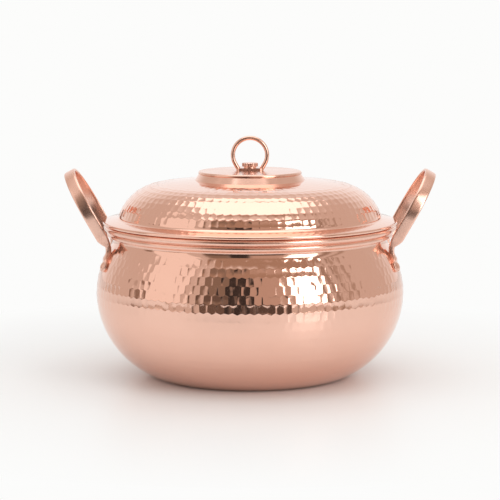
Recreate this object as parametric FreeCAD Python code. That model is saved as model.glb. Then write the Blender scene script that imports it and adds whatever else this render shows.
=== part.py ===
import FreeCAD, Part
import math
import os

from FreeCAD import Vector

# A round-bellied hammered copper pot with two riveted strap handles and a domed lid that lifts off.
# Millimetres and degrees. The base rests on z = 0, +Z is up and the handles stand on the X axis.

# Pot shell: sizes of its outer face
neck_radius = 115.6
belly_swell = 14.4
belly_height = 72.0
heel_sweep = 51.0
upper_belly_radius = 60.0
upper_belly_turn = 15.0
shoulder_radius = 95.7
neck_fillet = 7.1
neck_height = 0.2
pot_sheet = 1.5
pot_tin = 0.4

# Pot rim: a cove, a swaged bead and, above it, a bead rolled around a wire
cove_radius = 1.8
ledge_width = 1.0
swaged_bead_radius = 2.5
rim_wire_radius = 1.0
rim_wire_gap = 0.05
roll_end_angle = -100.0

# Lid: the brim is folded over the flange of the collar
seat_gap = 0.3
lid_sheet = 1.0
lid_tin = 0.3
lid_overhang = 0.8
hem_width = 7.3
dome_setback = 5.1
dome_side_height = 2.8
dome_corner_radius = 11.2
dome_corner_turn = 23.4
dome_shoulder_radius = 39.2
dome_crown_radius = 618.0

# Collar under the brim
collar_sheet = 0.8
collar_gap = 1.0
collar_depth = 20.0

# Raised disc on the crown of the lid
boss_radius = 45.0
boss_side_height = 1.9
boss_corner_radius = 5.6
boss_crown_radius = 2900.0
boss_sheet = 1.2

# Ring pull and what clamps it
ring_outer_radius = 16.2
ring_wire_radius = 1.8
ring_height = 29.2
ring_leg_spread = 9.7
bar_thickness = 2.0
bar_width = 7.0
nut_radius = 6.75
nut_height = 3.0
nut_neck_radius = 5.2
nut_neck_height = 1.4
nut_flute_count = 20
nut_flute_radius = 0.6
nut_bevel = 0.4
nut_roof = 1.2
stud_radius = 2.0
stud_gap = 0.2
stud_tail = 1.2
washer_radius = 6.0
washer_thickness = 1.0
locknut_width = 7.0
locknut_height = 3.2
hexagon_sides = 6

# Handles: a strap bent round a circle whose plane leans outwards
handle_lean = 29.1
handle_gap = 6.4
handle_rise = 13.5
loop_radius = 38.0
strap_width = 9.6
strap_thickness = 2.7
strap_wrap = 8.0
strap_leg = 18.0
strap_corner = 0.6
foot_offset = 32.0
foot_angle = 20.4
foot_thickness = 2.2
foot_sink = 0.6
foot_width = 14.0
foot_rise = 4.5
foot_drop = 4.0
ankle_inset = 1.3
ankle_rise = 7.4
ankle_width = 8.0
ankle_depth = 4.8
handle_neck_inset = 3.1
handle_neck_depth = 4.3
handle_neck_low = 11.8
handle_neck_high = 16.2

# Rivets and the washers that they are closed over
rivet_radius = 2.0
rivet_head_radius = 4.2
rivet_head_height = 1.6
rivet_tail_radius = 3.2
rivet_tail_height = 1.2
burr_radius = 4.4
burr_thickness = 1.0

# One overrun for every cut, and how near two points are one
overrun = 1.0
same_place = 1e-6

# Radii worked out from the sizes above
belly_radius = neck_radius + belly_swell
lower_belly_radius = (heel_sweep ** 2 + belly_height ** 2) / (2 * heel_sweep)
pot_wall = pot_sheet + pot_tin
roll_bore = rim_wire_radius + rim_wire_gap
roll_radius = roll_bore + pot_sheet
ledge_radius = neck_radius + cove_radius + ledge_width
rim_radius = ledge_radius + 2 * roll_radius
dome_radius = neck_radius - dome_setback
collar_radius = neck_radius - pot_wall - collar_gap
lid_radius = rim_radius + lid_overhang

os.makedirs("parts", exist_ok=True)


# An outline lies in the XZ plane as a list of corner points and of arcs.
# An arc is its centre, its radius, its start angle and its end angle.

def corner(radius, height):
    return Vector(radius, 0, height)


def polar(centre, radius, angle):
    turn = math.radians(angle)
    return centre + Vector(radius * math.cos(turn), 0, radius * math.sin(turn))


def angle_to(centre, place):
    return math.degrees(math.atan2(place.z - centre.z, place.x - centre.x))


def ends(piece):
    if isinstance(piece, Vector):
        return piece, piece
    centre, radius, start, end = piece
    return polar(centre, radius, start), polar(centre, radius, end)


def edge_of(piece):
    centre, radius, start, end = piece
    middle = polar(centre, radius, (start + end) / 2)
    return Part.Arc(polar(centre, radius, start), middle, polar(centre, radius, end)).toShape()


def backwards(pieces):
    opposite = []
    for piece in reversed(pieces):
        if isinstance(piece, Vector):
            opposite.append(piece)
        else:
            centre, radius, start, end = piece
            opposite.append((centre, radius, end, start))
    return opposite


def closed_face(pieces):
    """Join the pieces of an outline with straight lines and fill it."""
    edges = []
    place = ends(pieces[-1])[1]
    for piece in pieces:
        start, end = ends(piece)
        if not place.isEqual(start, same_place):
            edges.append(Part.LineSegment(place, start).toShape())
        if not isinstance(piece, Vector):
            edges.append(edge_of(piece))
        place = end
    return Part.Face(Part.Wire(edges))


def turned(pieces):
    """The solid that an outline makes when it is turned about Z."""
    return closed_face(pieces).revolve(Vector(), Vector(0, 0, 1), 360)


def rod(radius, low, high):
    return Part.makeCylinder(radius, high - low, Vector(0, 0, low))


# Centres of the arcs of the pot's wall

lower_belly_centre = corner(belly_radius - lower_belly_radius, belly_height)
upper_belly_centre = corner(belly_radius - upper_belly_radius, belly_height)
shoulder_centre = polar(upper_belly_centre, upper_belly_radius - shoulder_radius, upper_belly_turn)
neck_reach = neck_radius + neck_fillet - shoulder_centre.x
neck_foot_height = shoulder_centre.z + math.sqrt((shoulder_radius + neck_fillet) ** 2 - neck_reach ** 2)
neck_fillet_centre = corner(neck_radius + neck_fillet, neck_foot_height)
shoulder_end = angle_to(shoulder_centre, neck_fillet_centre)


def wall_outline(inset):
    """The pot's wall from the base to the foot of the neck, set in by a distance from its outer face."""
    lower_radius = lower_belly_radius - inset
    base_angle = -math.degrees(math.asin((belly_height - inset) / lower_radius))
    return [
        (lower_belly_centre, lower_radius, base_angle, 0),
        (upper_belly_centre, upper_belly_radius - inset, 0, upper_belly_turn),
        (shoulder_centre, shoulder_radius - inset, upper_belly_turn, shoulder_end),
        (neck_fillet_centre, neck_fillet + inset, shoulder_end - 180, -180),
    ]


# Levels of the neck and of the rim

neck_top = neck_foot_height + neck_height
cove_centre = corner(neck_radius + cove_radius, neck_top)
ledge_height = neck_top + cove_radius
swaged_centre = corner(ledge_radius, ledge_height + swaged_bead_radius)
roll_centre = corner(ledge_radius + roll_radius, swaged_centre.z + swaged_bead_radius + roll_radius)
rim_top = roll_centre.z + roll_radius
swaged_end = math.degrees(math.acos(pot_sheet / swaged_bead_radius))


def rim_outline():
    """The rim from the neck's outer face, round the wire, and back to the neck's inner face."""
    inner_bead_radius = swaged_bead_radius - pot_sheet
    return [
        (cove_centre, cove_radius, 180, 90),
        (swaged_centre, swaged_bead_radius, -90, swaged_end),
        (roll_centre, roll_bore, 180, roll_end_angle),
        (roll_centre, roll_radius, roll_end_angle, 180),
        (swaged_centre, inner_bead_radius, 90, -90),
        (cove_centre, cove_radius + pot_sheet, 90, 180),
    ]


# Frame of a foot, on the +X and +Y side: where its rivet meets the pot's outer face

foot_place_radius = polar(shoulder_centre, shoulder_radius, foot_angle).x
foot_place_height = polar(shoulder_centre, shoulder_radius, foot_angle).z
foot_azimuth = math.asin(foot_offset / foot_place_radius)
foot_lift = math.radians(foot_angle)
radial = Vector(math.cos(foot_azimuth), math.sin(foot_azimuth), 0)
sideways = Vector(-math.sin(foot_azimuth), math.cos(foot_azimuth), 0)
upward = Vector(0, 0, 1)
foot_place = radial * foot_place_radius + upward * foot_place_height
foot_out = radial * math.cos(foot_lift) + upward * math.sin(foot_lift)
foot_up = upward * math.cos(foot_lift) - radial * math.sin(foot_lift)


def on_foot(shape):
    """Move a shape from the origin, with +Z outwards, to the foot on the +X and +Y side."""
    moved = shape.copy()
    moved.Placement = FreeCAD.Placement(foot_place, FreeCAD.Rotation(Vector(0, 0, 1), foot_out))
    return moved


def both_feet(shape):
    """A shape at the foot on the +Y side and its mirror image on the -Y side."""
    return [shape, shape.mirror(Vector(), Vector(0, 1, 0))]


def other_side(shapes):
    """The mirror images, on the -X side, of shapes on the +X side."""
    return [shape.mirror(Vector(), Vector(1, 0, 0)) for shape in shapes]


burr_seat = burr_radius ** 2 / (2 * (shoulder_radius - pot_wall))
burr_face = -pot_wall - burr_seat
burr_back = burr_face - burr_thickness


def rivet_holes():
    holes = both_feet(on_foot(rod(rivet_radius, burr_back - overrun, foot_thickness + overrun)))
    return holes + other_side(holes)


def make_pot_body():
    outer = wall_outline(0)
    inner = backwards(wall_outline(pot_sheet))
    shell = turned([corner(0, 0)] + outer + rim_outline() + inner + [corner(0, pot_sheet)])
    return shell.cut(rivet_holes())


def make_pot_lining():
    outer = wall_outline(pot_sheet) + [corner(neck_radius - pot_sheet, neck_top)]
    inner = [corner(neck_radius - pot_wall, neck_top)] + backwards(wall_outline(pot_wall))
    lining = turned([corner(0, pot_sheet)] + outer + inner + [corner(0, pot_wall)])
    return lining.cut(rivet_holes())


def make_pot_rim_wire():
    return Part.makeTorus(roll_centre.x, rim_wire_radius, Vector(0, 0, roll_centre.z))


def domed_end_centre(face, height, radius):
    """Where the centre of a domed end is, for a dome that stands on a face by a height."""
    return face + (height ** 2 - radius ** 2) / (2 * height)


def make_rivets():
    """A domed head on the foot, a shank through the wall and a closed tail on the burr."""
    head_centre = corner(0, domed_end_centre(foot_thickness, rivet_head_height, rivet_head_radius))
    tail_centre = corner(0, domed_end_centre(burr_back, -rivet_tail_height, rivet_tail_radius))
    head_dome = foot_thickness + rivet_head_height - head_centre.z
    tail_dome = tail_centre.z - burr_back + rivet_tail_height
    head_start = angle_to(head_centre, corner(rivet_head_radius, foot_thickness))
    tail_start = angle_to(tail_centre, corner(rivet_tail_radius, burr_back))
    rivet = turned([
        (tail_centre, tail_dome, -90, tail_start),
        corner(rivet_radius, burr_back),
        corner(rivet_radius, foot_thickness),
        (head_centre, head_dome, head_start, 90),
    ])
    return both_feet(on_foot(rivet))


def make_burrs():
    disc = rod(burr_radius, burr_back, burr_face)
    hole = rod(rivet_radius, burr_back - overrun, burr_face + overrun)
    return both_feet(on_foot(disc.cut(hole)))


# Frame of a handle on the +X side: the circle of its near edge, in a plane that leans outwards

lean = math.radians(handle_lean)
loop_centre = Vector(rim_radius + handle_gap, 0, rim_top + handle_rise)
loop_up = Vector(math.sin(lean), 0, math.cos(lean))
loop_out = Vector(math.cos(lean), 0, -math.sin(lean))
strap_radius = loop_radius - strap_thickness / 2
wrap = math.radians(strap_wrap)
strap_end_side = Vector(0, math.cos(wrap), 0) - loop_up * math.sin(wrap)
strap_end_down = Vector(0, -math.sin(wrap), 0) - loop_up * math.cos(wrap)
arc_end = loop_centre + strap_end_side * strap_radius + loop_out * (strap_width / 2)
strap_end = arc_end + strap_end_down * strap_leg


def bar_section(centre, depth_way, depth, width_way, width):
    """A rectangle with cut corners, as a closed wire."""
    deep = depth / 2
    wide = width / 2
    points = []
    for side, edge in ((1, 1), (1, -1), (-1, -1), (-1, 1)):
        long_corner = depth_way * (side * deep) + width_way * (edge * (wide - strap_corner))
        short_corner = depth_way * (side * (deep - strap_corner)) + width_way * (edge * wide)
        pair = [short_corner, long_corner] if side == edge else [long_corner, short_corner]
        points += [centre + place for place in pair]
    return Part.makePolygon(points + points[:1])


def make_strap():
    """The bent arc of the strap and its two straight legs."""
    section = Part.Face(bar_section(arc_end, loop_out, strap_width, strap_end_side, strap_thickness))
    bend = section.revolve(loop_centre, loop_out, 180 + 2 * strap_wrap)
    return bend.fuse(both_feet(section.extrude(strap_end_down * strap_leg)))


def make_foot():
    """The strap's end necks down and then flattens into a leaf on the shoulder."""
    leaf = foot_place + foot_out * ((foot_thickness - foot_sink) / 2)
    leaf_depth = foot_thickness + foot_sink
    neck = foot_place - radial * handle_neck_inset
    neck_depth = handle_neck_depth
    sections = [bar_section(strap_end, loop_out, strap_width, strap_end_side, strap_thickness)]
    for rise in (handle_neck_high, handle_neck_low):
        sections.append(bar_section(neck + upward * rise, radial, neck_depth, sideways, neck_depth))
    ankle = foot_place - radial * ankle_inset + upward * ankle_rise
    sections.append(bar_section(ankle, radial, ankle_depth, sideways, ankle_width))
    tip_width = foot_width / 2
    for rise, width in ((foot_rise, foot_width), (-foot_drop / 2, foot_width), (-foot_drop, tip_width)):
        sections.append(bar_section(leaf + foot_up * rise, foot_out, leaf_depth, sideways, width))
    return Part.makeLoft(sections, True, True)


def make_handle():
    plug = turned([corner(0, 0)] + wall_outline(0) + [corner(neck_radius, neck_top), corner(0, neck_top)])
    feet = [foot.cut(plug) for foot in both_feet(make_foot())]
    handle = make_strap().fuse(feet).removeSplitter()
    return handle.cut(rivet_holes())


# Levels of the lid

lid_underside = rim_top + seat_gap
flange_underside = lid_underside + lid_sheet
brim_underside = flange_underside + collar_sheet
brim_top = brim_underside + lid_sheet


def crown_centre_of(side_centre, side_arc_radius, crown_radius):
    """Centre of the crown's arc, which runs on from the arc beside it."""
    reach = crown_radius - side_arc_radius
    return corner(0, side_centre.z - math.sqrt(reach ** 2 - side_centre.x ** 2))


def crown_outline(side_centre, side_arc_radius, start, crown_radius, inset, hole_radius):
    """The last arc of a cap's side and the arc of its crown, to a hole, set in by a distance."""
    crown_centre = crown_centre_of(side_centre, side_arc_radius, crown_radius)
    meeting = angle_to(crown_centre, side_centre)
    hole_angle = math.degrees(math.acos(hole_radius / (crown_radius - inset)))
    return [
        (side_centre, side_arc_radius - inset, start, meeting),
        (crown_centre, crown_radius - inset, meeting, hole_angle),
    ]


stud_hole_radius = stud_radius + stud_gap
dome_corner_centre = corner(dome_radius - dome_corner_radius, brim_top + dome_side_height)
dome_shoulder_offset = dome_corner_radius - dome_shoulder_radius
dome_shoulder_centre = polar(dome_corner_centre, dome_shoulder_offset, dome_corner_turn)
dome_crown_centre = crown_centre_of(dome_shoulder_centre, dome_shoulder_radius, dome_crown_radius)
boss_foot_height = dome_crown_centre.z + math.sqrt(dome_crown_radius ** 2 - boss_radius ** 2)
boss_corner_centre = corner(boss_radius - boss_corner_radius, boss_foot_height + boss_side_height)
boss_crown_centre = crown_centre_of(boss_corner_centre, boss_corner_radius, boss_crown_radius)
boss_top = boss_crown_centre.z + boss_crown_radius
dome_inside_radius = dome_crown_radius - lid_sheet - lid_tin
dome_inside_top = dome_crown_centre.z + math.sqrt(dome_inside_radius ** 2 - washer_radius ** 2)


def dome_outline(inset, hole_radius):
    corner_arc = (dome_corner_centre, dome_corner_radius - inset, 0, dome_corner_turn)
    return [corner_arc] + crown_outline(
        dome_shoulder_centre, dome_shoulder_radius, dome_corner_turn, dome_crown_radius, inset, hole_radius
    )


def boss_outline(inset, hole_radius):
    return crown_outline(boss_corner_centre, boss_corner_radius, 0, boss_crown_radius, inset, hole_radius)


def make_lid_shell():
    """The dome, its side, the brim and the hem that is folded under the collar's flange."""
    fold_radius = (brim_top - lid_underside) / 2
    fold_centre = corner(lid_radius - fold_radius, lid_underside + fold_radius)
    inner_fold_radius = fold_radius - lid_sheet
    inner_side = dome_radius - lid_sheet
    return turned(
        [corner(inner_side, brim_underside)]
        + [(fold_centre, inner_fold_radius, 90, -90)]
        + [corner(lid_radius - hem_width, flange_underside), corner(lid_radius - hem_width, lid_underside)]
        + [(fold_centre, fold_radius, -90, 90), corner(dome_radius, brim_top)]
        + dome_outline(0, stud_hole_radius)
        + backwards(dome_outline(lid_sheet, stud_hole_radius))
    )


def make_lid_lining():
    inner_side = dome_radius - lid_sheet
    return turned(
        [corner(inner_side, brim_underside)]
        + dome_outline(lid_sheet, stud_hole_radius)
        + backwards(dome_outline(lid_sheet + lid_tin, stud_hole_radius))
        + [corner(inner_side - lid_tin, brim_underside)]
    )


def make_lid_collar():
    flange_radius = lid_radius - (brim_top - lid_underside) / 2
    inner_radius = collar_radius - collar_sheet
    foot = brim_underside - collar_depth
    return turned([
        corner(inner_radius, foot),
        corner(collar_radius, foot),
        corner(collar_radius, flange_underside),
        corner(flange_radius, flange_underside),
        corner(flange_radius, brim_underside),
        corner(inner_radius, brim_underside),
    ])


def make_lid_boss():
    """A pressed cap whose edge is fitted to the dome below it."""
    inner_side = boss_radius - boss_sheet
    foot = boss_foot_height - overrun
    cap = turned(
        [corner(inner_side, foot), corner(boss_radius, foot)]
        + boss_outline(0, stud_hole_radius)
        + backwards(boss_outline(boss_sheet, stud_hole_radius))
    )
    dome = turned([corner(0, brim_top), corner(dome_radius, brim_top)] + dome_outline(0, 0))
    return cap.cut(dome)


def make_ring_pull():
    """A ring of round wire whose legs run straight down to a flattened base bar."""
    ring_radius = ring_outer_radius - ring_wire_radius
    centre = Vector(0, 0, boss_top + ring_height - ring_outer_radius)
    foot = Vector(ring_leg_spread, 0, boss_top + bar_thickness / 2)
    to_foot = foot - centre
    open_angle = math.acos(ring_radius / to_foot.Length)
    leg_angle = math.atan2(to_foot.z, to_foot.x) + open_angle
    leg_top = centre + Vector(math.cos(leg_angle), 0, math.sin(leg_angle)) * ring_radius
    leg_way = foot - leg_top
    circle = Part.makeCircle(ring_wire_radius, leg_top, leg_way)
    bend = Part.Face(Part.Wire(circle)).revolve(centre, Vector(0, -1, 0), 180 - 2 * math.degrees(leg_angle))
    leg = Part.makeCylinder(ring_wire_radius, leg_way.Length, leg_top, leg_way)
    legs = [leg] + other_side([leg])
    half_bar = bar_width / 2
    bar_reach = ring_leg_spread + ring_wire_radius - half_bar
    bar = Part.makeBox(2 * bar_reach, bar_width, bar_thickness, Vector(-bar_reach, -half_bar, boss_top))
    bar_ends = [
        Part.makeCylinder(half_bar, bar_thickness, Vector(side * bar_reach, 0, boss_top))
        for side in (-1, 1)
    ]
    hole = rod(stud_hole_radius, boss_top - overrun, boss_top + bar_thickness + overrun)
    return bend.fuse(legs + [bar] + bar_ends).removeSplitter().cut(hole)


nut_foot = boss_top + bar_thickness
nut_top = nut_foot + nut_neck_height + nut_height
stud_top = nut_top - nut_roof


def make_pull_nut():
    """A fluted head on a plain neck, with a blind hole for the stud."""
    head_foot = nut_foot + nut_neck_height
    nut = turned([
        corner(0, nut_foot),
        corner(nut_neck_radius, nut_foot),
        corner(nut_neck_radius, head_foot),
        corner(nut_radius - nut_bevel, head_foot),
        corner(nut_radius, head_foot + nut_bevel),
        corner(nut_radius, nut_top - nut_bevel),
        corner(nut_radius - nut_bevel, nut_top),
        corner(0, nut_top),
    ])
    flute = Part.makeCylinder(nut_flute_radius, nut_height + overrun, Vector(nut_radius, 0, head_foot))
    flutes = []
    for count in range(nut_flute_count):
        turn = 360 * count / nut_flute_count
        flutes.append(flute.copy().rotate(Vector(), Vector(0, 0, 1), turn))
    return nut.cut(flutes + [rod(stud_radius, nut_foot - overrun, stud_top)])


washer_foot = dome_inside_top - washer_thickness
locknut_foot = washer_foot - locknut_height


def make_pull_stud():
    return rod(stud_radius, locknut_foot - stud_tail, stud_top)


def make_pull_washer():
    ring = rod(washer_radius, washer_foot, dome_inside_top)
    return ring.cut(rod(stud_hole_radius, washer_foot - overrun, dome_inside_top + overrun))


def make_pull_locknut():
    corner_radius = locknut_width / 2 / math.cos(math.pi / hexagon_sides)
    points = []
    for count in range(hexagon_sides + 1):
        turn = 2 * math.pi * count / hexagon_sides
        points.append(Vector(corner_radius * math.cos(turn), corner_radius * math.sin(turn), locknut_foot))
    hexagon = Part.Face(Part.makePolygon(points)).extrude(Vector(0, 0, locknut_height))
    return hexagon.cut(rod(stud_radius, locknut_foot - overrun, washer_foot + overrun))


def save(name, shapes):
    """Write the solids of one node and say how many there are and how large."""
    solids = [solid for shape in shapes for solid in shape.Solids]
    whole = solids[0] if len(solids) == 1 else Part.makeCompound(solids)
    whole.exportStep("parts/" + name + ".step")
    box = whole.BoundBox
    size = f"{box.XLength:.1f} x {box.YLength:.1f} x {box.ZLength:.1f}"
    print(f"{name}: {len(solids)} solids, valid {whole.isValid()}, {whole.Volume:.0f} mm3, {size}")


handle = make_handle()
rivets = make_rivets()
burrs = make_burrs()

save("pot_body", [make_pot_body()])
save("pot_lining", [make_pot_lining()])
save("pot_rim_wire", [make_pot_rim_wire()])
save("right_handle", [handle])
save("left_handle", other_side([handle]))
save("right_handle_rivets", rivets)
save("left_handle_rivets", other_side(rivets))
save("right_rivet_burrs", burrs)
save("left_rivet_burrs", other_side(burrs))
save("lid_shell", [make_lid_shell()])
save("lid_lining", [make_lid_lining()])
save("lid_collar", [make_lid_collar()])
save("lid_boss", [make_lid_boss()])
save("ring_pull", [make_ring_pull()])
save("pull_nut", [make_pull_nut()])
save("pull_stud", [make_pull_stud()])
save("pull_washer", [make_pull_washer()])
save("pull_locknut", [make_pull_locknut()])
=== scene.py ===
# %% [markdown]
# # A hammered copper pot with a lid
# The imported model comes in first. Its solids say where everything is, so each piece below is made in
# the same frame and needs no fitting.

# %% Load the frame
import math
import random

import bmesh
import bpy
from mathutils import Matrix, Vector
from mathutils.kdtree import KDTree


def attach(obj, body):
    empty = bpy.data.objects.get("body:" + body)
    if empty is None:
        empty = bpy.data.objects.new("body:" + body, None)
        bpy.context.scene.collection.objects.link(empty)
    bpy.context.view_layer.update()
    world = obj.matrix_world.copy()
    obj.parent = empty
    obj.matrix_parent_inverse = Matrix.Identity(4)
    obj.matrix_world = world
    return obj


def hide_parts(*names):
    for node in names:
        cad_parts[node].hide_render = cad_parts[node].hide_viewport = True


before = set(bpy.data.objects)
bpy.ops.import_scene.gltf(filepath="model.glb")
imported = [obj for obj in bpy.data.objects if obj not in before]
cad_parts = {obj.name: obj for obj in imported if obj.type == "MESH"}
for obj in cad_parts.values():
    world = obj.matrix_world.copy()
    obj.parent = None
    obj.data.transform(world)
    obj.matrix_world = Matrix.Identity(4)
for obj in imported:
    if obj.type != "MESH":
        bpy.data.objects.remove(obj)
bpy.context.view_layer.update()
print("solids:", ", ".join(sorted(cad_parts)))

# %% [markdown]
# The camera stands 1.8 m from the middle of the pot and looks slightly down. Its long lens keeps the
# sides of the pot almost parallel. It could track an empty object, but it only has to look one way, so
# it is turned along that direction. The small shift raises the view to the photograph's framing.

# %% Camera
CAMERA_DISTANCE = 1.8
CAMERA_LIFT = math.radians(7.41)
AIM = Vector((0, 0, 0.1))
SENSOR_MM = 36
LENS_MM = 152.8
FRAME_SHIFT = 0.015

away = Vector((0, -math.cos(CAMERA_LIFT), math.sin(CAMERA_LIFT)))
camera = bpy.data.objects.new("camera", bpy.data.cameras.new("camera"))
bpy.context.scene.collection.objects.link(camera)
camera.location = AIM + away * CAMERA_DISTANCE
camera.rotation_euler = away.to_track_quat("Z", "Y").to_euler()
camera.data.sensor_width = SENSOR_MM
camera.data.lens = LENS_MM
camera.data.shift_y = FRAME_SHIFT
bpy.context.scene.camera = camera
bpy.context.scene.view_settings.view_transform = "Standard"
print("camera at", tuple(round(value, 4) for value in camera.location))

# %% [markdown]
# Every material below is a small tree of nodes. One helper adds a node, sets it up and links it, and
# one function turns a colour written as sRGB hex into the linear values that a shader works in. It
# follows the sRGB standard: a straight line near black, and a power above that.

# %% Helpers for materials
MM = 0.001


def linear(colour):
    """An sRGB hex colour as linear red, green, blue and alpha."""
    values = [int(colour[place:place + 2], 16) / 255 for place in (1, 3, 5)]
    return [v / 12.92 if v <= 0.04045 else ((v + 0.055) / 1.055) ** 2.4 for v in values] + [1]


def add_node(tree, kind, links=None, values=None, **settings):
    """Add a node, set its properties and its input values, and link its inputs."""
    node = tree.nodes.new(kind)
    for name, value in settings.items():
        setattr(node, name, value)
    for name, value in (values or {}).items():
        node.inputs[name].default_value = value
    for name, source in (links or {}).items():
        tree.links.new(source, node.inputs[name])
    return node


def new_material(name):
    material = bpy.data.materials.new(name)
    material.use_nodes = True
    material.node_tree.nodes.clear()
    return material, material.node_tree


# %% [markdown]
# Copper has no paint or grain: what the eye sees is the room, mirrored and warmed by the metal. So the
# room matters as much as the material. It could be a picture of a room, but soft-edged patches in the
# world need no file, and each can be moved by itself. First, a ray's direction becomes two angles: turn,
# round the pot from the camera's side, and lift, above the horizon.

# %% World: the direction of a ray
world = bpy.data.worlds.new("studio")
bpy.context.scene.world = world
world.use_nodes = True
sky = world.node_tree
sky.nodes.clear()
direction = add_node(sky, "ShaderNodeTexCoord").outputs["Generated"]
parts = add_node(sky, "ShaderNodeSeparateXYZ", {"Vector": direction})
forward = add_node(sky, "ShaderNodeMath", {0: parts.outputs["Y"]}, {1: -1}, operation="MULTIPLY")
turn = add_node(
    sky, "ShaderNodeMath", {0: parts.outputs["X"], 1: forward.outputs[0]}, operation="ARCTAN2"
)
lift = add_node(sky, "ShaderNodeMath", {0: parts.outputs["Z"]}, operation="ARCSINE")
print("nodes for the direction:", len(sky.nodes))

# %% [markdown]
# The walls are a warm grey that pales towards the ceiling, and white behind the pot. In front of them
# stand plain patches, each with a soft edge: a dark doorway behind the camera with a wall on both sides,
# a chest, the folds of a curtain beside the window, and the far edges of the table. Four ramps,
# multiplied, make the mask of one patch.

# %% World: walls and patches
PALE_FROM = math.radians(48)
PALE_TO = math.radians(66)
REAR_FROM = 0.55
REAR_TO = 0.95
# Name, turn from and to, lift from and to, softness of the edge, all in degrees, and colour
WALL_PATCHES = [
    ("upper wall behind the camera", (-38, 62), (36, 56), 4, "#ac9380"),
    ("wall left of the doorway", (-38, -18), (-14, 42), 2, "#89786a"),
    ("its shaded foot", (-38, -18), (-14, 12), 2, "#6b5c52"),
    ("wall right of the doorway", (0, 29), (5, 42), 2, "#c1aa9b"),
    ("low chest right of the doorway", (0, 29), (-14, 5), 2, "#5a4d45"),
    ("doorway behind the camera", (-18, 0), (-14, 38), 2, "#3c3633"),
    ("curtain right of the window", (62, 70), (-8, 44), 2, "#a08c7d"),
    ("second fold of the curtain", (78, 84), (-8, 44), 2, "#ae9b8c"),
    ("corner on the left", (-97, -88), (-6, 12), 2, "#8f7b6d"),
    ("far edge of the table on the left", (-160, -60), (-7, -2), 2, "#a8937f"),
    ("far edge of the table on the right", (60, 160), (-7, -2), 2, "#a8937f"),
]

pale = add_node(
    sky, "ShaderNodeMapRange", {"Value": lift.outputs[0]}, {"From Min": PALE_FROM, "From Max": PALE_TO}
)
wall_colour = add_node(
    sky, "ShaderNodeMix", {"Factor": pale.outputs[0]}, {"A": linear("#d4c6bc"), "B": linear("#f0e8e2")},
    data_type="RGBA"
)
rear = add_node(
    sky, "ShaderNodeMapRange", {"Value": parts.outputs["Y"]}, {"From Min": REAR_FROM, "From Max": REAR_TO}
)
colour = add_node(
    sky, "ShaderNodeMix", {"Factor": rear.outputs[0], "A": wall_colour.outputs["Result"]},
    {"B": linear("#ffffff")}, data_type="RGBA"
)
for name, across, height, edge, shade in WALL_PATCHES:
    mask = None
    for angle, (low, high) in ((turn, across), (lift, height)):
        for limit, sign in ((low, 1), (high, -1)):
            limits = [math.radians(limit + side * sign * edge) for side in (-1, 1)]
            ramp = add_node(
                sky, "ShaderNodeMapRange", {"Value": angle.outputs[0]},
                {"From Min": limits[0], "From Max": limits[1]}
            )
            if mask:
                ramp = add_node(
                    sky, "ShaderNodeMath", {0: mask.outputs[0], 1: ramp.outputs[0]}, operation="MULTIPLY"
                )
            mask = ramp
    colour = add_node(
        sky, "ShaderNodeMix", {"Factor": mask.outputs[0], "A": colour.outputs["Result"]},
        {"B": linear(shade)}, data_type="RGBA", label=name
    )
print("patches:", len(WALL_PATCHES))

# %% [markdown]
# The room is for the copper only. Light Path tells the kinds of rays apart: a mirrored ray sees the
# room, the camera sees plain white, and all other rays get an even white light, so that the pot keeps
# its plain light whatever the room's colours are.

# %% World: what each kind of ray sees
EVEN_LIGHT = 0.72

rays = add_node(sky, "ShaderNodeLightPath")
mirrored = add_node(sky, "ShaderNodeBackground", {"Color": colour.outputs["Result"]})
even = add_node(sky, "ShaderNodeBackground", values={"Color": linear("#ffffff"), "Strength": EVEN_LIGHT})
plain = add_node(sky, "ShaderNodeBackground", values={"Color": linear("#fcfcfb")})
lit = add_node(
    sky, "ShaderNodeMixShader", {0: rays.outputs["Is Glossy Ray"], 1: even.outputs[0], 2: mirrored.outputs[0]}
)
seen = add_node(
    sky, "ShaderNodeMixShader", {0: rays.outputs["Is Camera Ray"], 1: lit.outputs[0], 2: plain.outputs[0]}
)
add_node(sky, "ShaderNodeOutputWorld", {"Surface": seen.outputs[0]})
print("nodes of the world:", len(sky.nodes))

# %% [markdown]
# Three softboxes light the pot. They are area lamps, wide and near, so shadows are soft, and they show
# in the copper as the white overhead, the bright window and the pale panel. Each is set by how bright
# it looks, because that is what the copper shows. An area lamp's watts are that times pi and its area.

# %% Softboxes
# Name, place, what it points at, width, height, and how bright it looks
SOFTBOXES = [
    ("overhead", (0, 0, 1.9), (0, 0, 0.1), 1.9, 1.8, 0.85),
    ("window", (1.15, -1.2, 0.71), (0, 0, 0.15), 0.74, 1.08, 2.8),
    ("pale_panel", (-1.5, -0.62, 0.8), (0, 0, 0.15), 1.1, 1.5, 0.33),
]

for name, place, aim, width, height, brightness in SOFTBOXES:
    lamp = bpy.data.lights.new(name, "AREA")
    lamp.shape = "RECTANGLE"
    lamp.size = width
    lamp.size_y = height
    lamp.energy = brightness * math.pi * width * height
    lamp_object = bpy.data.objects.new(name, lamp)
    bpy.context.scene.collection.objects.link(lamp_object)
    lamp_object.location = place
    lamp_object.rotation_euler = (Vector(place) - Vector(aim)).to_track_quat("Z", "Y").to_euler()
    lamp_object.visible_camera = False
    print(name, "lamp", round(lamp.energy, 2), "W")

# %% [markdown]
# The floor is a wide sheet of satin white board, which mirrors the pot very faintly near its foot. It
# stops a little way in front of the pot, as a table does, because the copper shows the dark room beyond
# its edge. For the camera it fades into the white background with distance, so no horizon shows.

# %% Floor
FLOOR_FRONT = 0.56
FLOOR_REACH = 4.0
FADE_FROM = 0.17
FADE_TO = 0.42

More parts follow.
